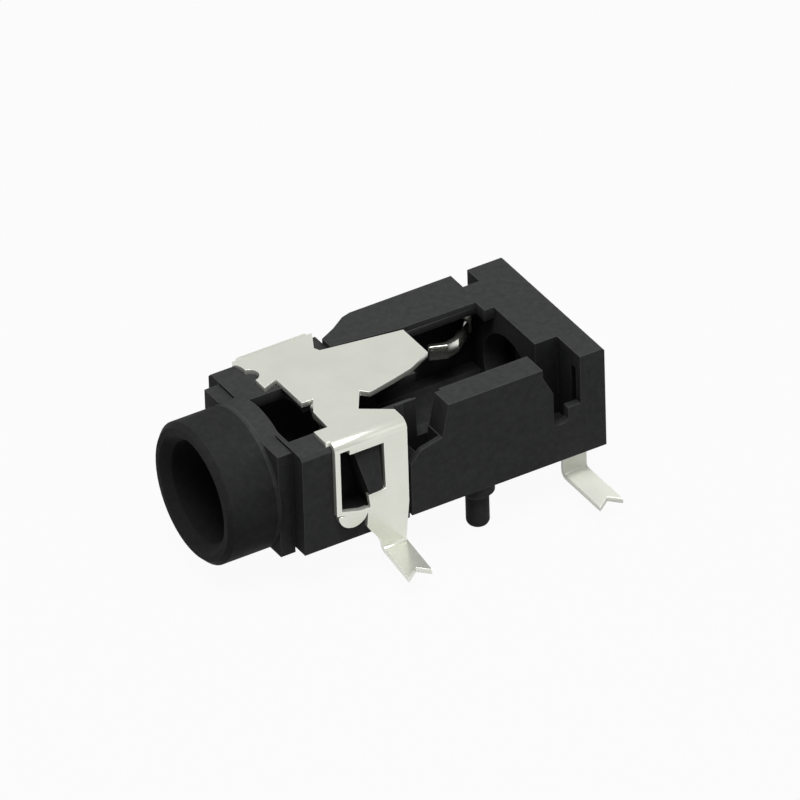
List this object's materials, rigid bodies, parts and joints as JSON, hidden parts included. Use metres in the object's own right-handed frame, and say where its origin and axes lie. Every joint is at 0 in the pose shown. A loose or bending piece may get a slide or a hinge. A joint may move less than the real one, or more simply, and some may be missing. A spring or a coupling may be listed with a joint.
{
  "type": "audio jack socket",
  "caption": "Surface-mount stereo jack socket for 3.5 mm plugs: black moulded housing with a round barrel, a plated sleeve cover, and sprung ring and tip contacts.",
  "frame": {"origin": "centre of the plug bore at the mouth", "axes": "-X out of the mouth, +X towards the rear block, +Z away from the board, -Y towards the side with the windowed flange"},
  "size_m": [0.014, 0.0102, 0.0057],
  "materials": {
    "housing_plastic": "moulded, faintly satin",
    "plated_cover": "warm bright tin plating",
    "plated_terminal": "warm bright tin plating",
    "plated_spring": "bright plated spring bronze"
  },
  "bodies": {
    "socket": {"housing": "housing_plastic", "sleeve_cover": "plated_cover", "ring_terminal": "plated_terminal", "tip_terminal": "plated_terminal"},
    "ring_arm": {"ring_spring": "plated_spring"},
    "tip_arm": {"tip_spring": "plated_spring"}
  },
  "joints": [
    {"name": "ring_flex", "type": "hinge", "parent": "socket", "child": "ring_arm", "pos_m": [0.01188, -0.00204, 0], "axis": [0, 0, 1], "range_deg": [0, 7], "stiffness_Nm_per_rad": 0.02},
    {"name": "tip_flex", "type": "hinge", "parent": "socket", "child": "tip_arm", "pos_m": [0.01187, 0.00215, 0], "axis": [0, 0, -1], "range_deg": [0, 17], "stiffness_Nm_per_rad": 0.005}
  ]
}
